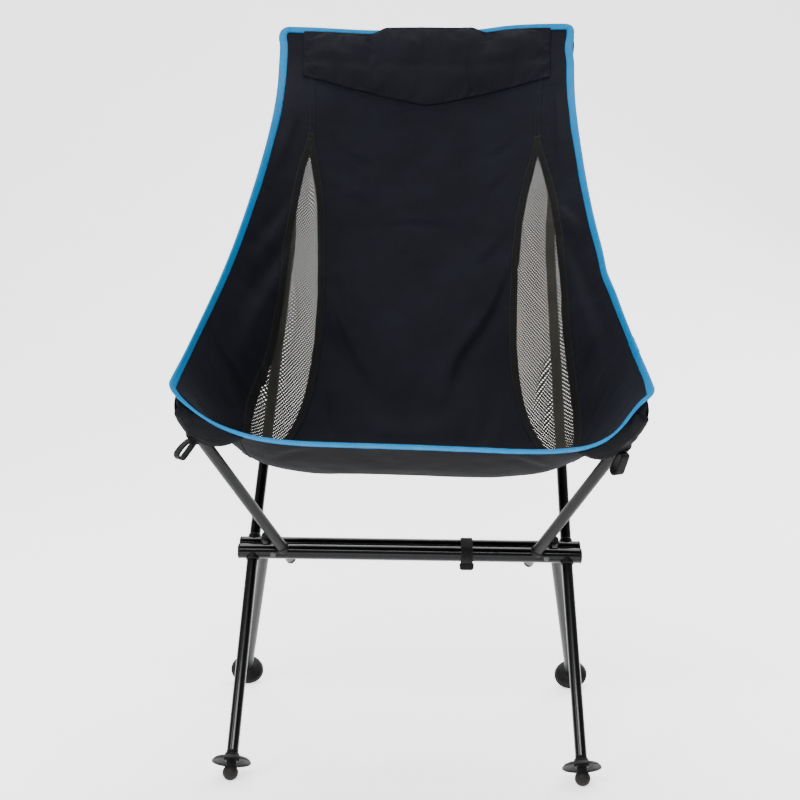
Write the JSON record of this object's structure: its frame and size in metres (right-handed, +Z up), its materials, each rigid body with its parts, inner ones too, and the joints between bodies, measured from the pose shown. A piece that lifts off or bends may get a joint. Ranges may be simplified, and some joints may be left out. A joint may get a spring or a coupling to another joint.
{
  "type": "backpacking chair",
  "caption": "Ultralight high-back camp chair: shock-corded pole frame on a double-bar hub with a see-through-sided fabric sling.",
  "frame": {"origin": "on the floor under the middle of the whole chair, sling included", "axes": "+X to the right in the view of somebody facing the chair, +Y to the back of the chair, +Z up"},
  "size_m": [0.5682, 0.5834, 0.9934],
  "materials": {
    "tube_black": "gloss anodised",
    "stub_metal": "satin",
    "pole_black": "gloss anodised",
    "pole_gray": "satin anodised",
    "plastic_black": "matte",
    "rivet_steel": "satin black",
    "rubber_black": "matte",
    "disc_plastic": "matte",
    "shock_cord": "woven",
    "fabric_navy": "plain weave",
    "mesh_black": "open knit",
    "tape_black": "woven tape",
    "binding_blue": "woven tape",
    "pocket_gray": "coated weave",
    "webbing_black": "webbing"
  },
  "bodies": {
    "chair": {"front_crossbar": "tube_black", "rear_crossbar": "tube_black", "front_leg_stubs": "stub_metal", "rear_leg_stubs": "stub_metal", "seat_pole_stubs": "stub_metal", "back_pole_stubs": "stub_metal", "back_pole_ferrules": "stub_metal", "back_pole_lower_left": "pole_black", "back_pole_lower_right": "pole_black", "back_pole_upper_left": "pole_black", "back_pole_upper_right": "pole_black", "seat_pole_left": "pole_gray", "seat_pole_right": "pole_gray", "crossbar_end_caps": "plastic_black", "crossbar_spacers": "plastic_black", "leg_socket_rings": "plastic_black", "pole_socket_rings": "plastic_black", "stub_end_caps": "plastic_black", "stub_cord_anchors": "plastic_black", "seat_pole_tips": "plastic_black", "back_pole_tips": "plastic_black", "crossbar_rivets": "rivet_steel", "pole_shock_cords": "shock_cord", "centre_panel": "fabric_navy", "wing_panel_left": "fabric_navy", "wing_panel_right": "fabric_navy", "headrest_panel": "fabric_navy", "mesh_panel_left": "mesh_black", "mesh_panel_right": "mesh_black", "seam_tapes_left": "tape_black", "seam_tapes_right": "tape_black", "edge_binding": "binding_blue", "front_pocket_left": "pocket_gray", "front_pocket_right": "pocket_gray", "top_pocket_left": "pocket_gray", "top_pocket_right": "pocket_gray", "front_pull_loop_left": "webbing_black", "front_pull_loop_right": "webbing_black"},
    "front_left_leg": {"front_leg_left": "pole_black", "foot_tip_front_left": "rubber_black", "leg_shock_cord_front_left": "shock_cord"},
    "rear_left_leg": {"rear_leg_left": "pole_gray", "foot_tip_rear_left": "rubber_black", "leg_shock_cord_rear_left": "shock_cord"},
    "front_right_leg": {"front_leg_right": "pole_black", "foot_tip_front_right": "rubber_black", "leg_shock_cord_front_right": "shock_cord"},
    "rear_right_leg": {"rear_leg_right": "pole_gray", "foot_tip_rear_right": "rubber_black", "leg_shock_cord_rear_right": "shock_cord"},
    "front_left_disc": {"foot_disc_front_left": "disc_plastic"},
    "rear_left_disc": {"foot_disc_rear_left": "disc_plastic"},
    "front_right_disc": {"foot_disc_front_right": "disc_plastic"},
    "rear_right_disc": {"foot_disc_rear_right": "disc_plastic"},
    "strap": {"storage_strap": "webbing_black"}
  },
  "joints": [
    {"name": "front_left_leg_pull", "type": "slide", "parent": "chair", "child": "front_left_leg", "axis": [-0.0272, -0.5706, -0.8208], "range_m": [0, 0.04], "stiffness_N_per_m": 150, "springref_m": -0.08, "deforming": ["leg_shock_cord_front_left"]},
    {"name": "rear_left_leg_pull", "type": "slide", "parent": "chair", "child": "rear_left_leg", "axis": [-0.1544, 0.6676, -0.7284], "range_m": [0, 0.04], "stiffness_N_per_m": 150, "springref_m": -0.08, "deforming": ["leg_shock_cord_rear_left"]},
    {"name": "front_right_leg_pull", "type": "slide", "parent": "chair", "child": "front_right_leg", "axis": [0.0272, -0.5706, -0.8208], "range_m": [0, 0.04], "stiffness_N_per_m": 150, "springref_m": -0.08, "deforming": ["leg_shock_cord_front_right"]},
    {"name": "rear_right_leg_pull", "type": "slide", "parent": "chair", "child": "rear_right_leg", "axis": [0.1544, 0.6676, -0.7284], "range_m": [0, 0.04], "stiffness_N_per_m": 150, "springref_m": -0.08, "deforming": ["leg_shock_cord_rear_right"]},
    {"name": "front_left_disc_spin", "type": "hinge", "parent": "front_left_leg", "child": "front_left_disc", "pos_m": [-0.2137, -0.2595, 0.0092], "axis": [-0.0272, -0.5706, -0.8208], "continuous": true},
    {"name": "rear_left_disc_spin", "type": "hinge", "parent": "rear_left_leg", "child": "rear_left_disc", "pos_m": [-0.244, 0.1509, 0.0092], "axis": [-0.1544, 0.6676, -0.7284], "continuous": true},
    {"name": "front_right_disc_spin", "type": "hinge", "parent": "front_right_leg", "child": "front_right_disc", "pos_m": [0.2137, -0.2595, 0.0092], "axis": [0.0272, -0.5706, -0.8208], "continuous": true},
    {"name": "rear_right_disc_spin", "type": "hinge", "parent": "rear_right_leg", "child": "rear_right_disc", "pos_m": [0.244, 0.1509, 0.0092], "axis": [0.1544, 0.6676, -0.7284], "continuous": true},
    {"name": "strap_slide", "type": "slide", "parent": "chair", "child": "strap", "axis": [1, 0, 0], "range_m": [-0.21, 0.06]}
  ]
}
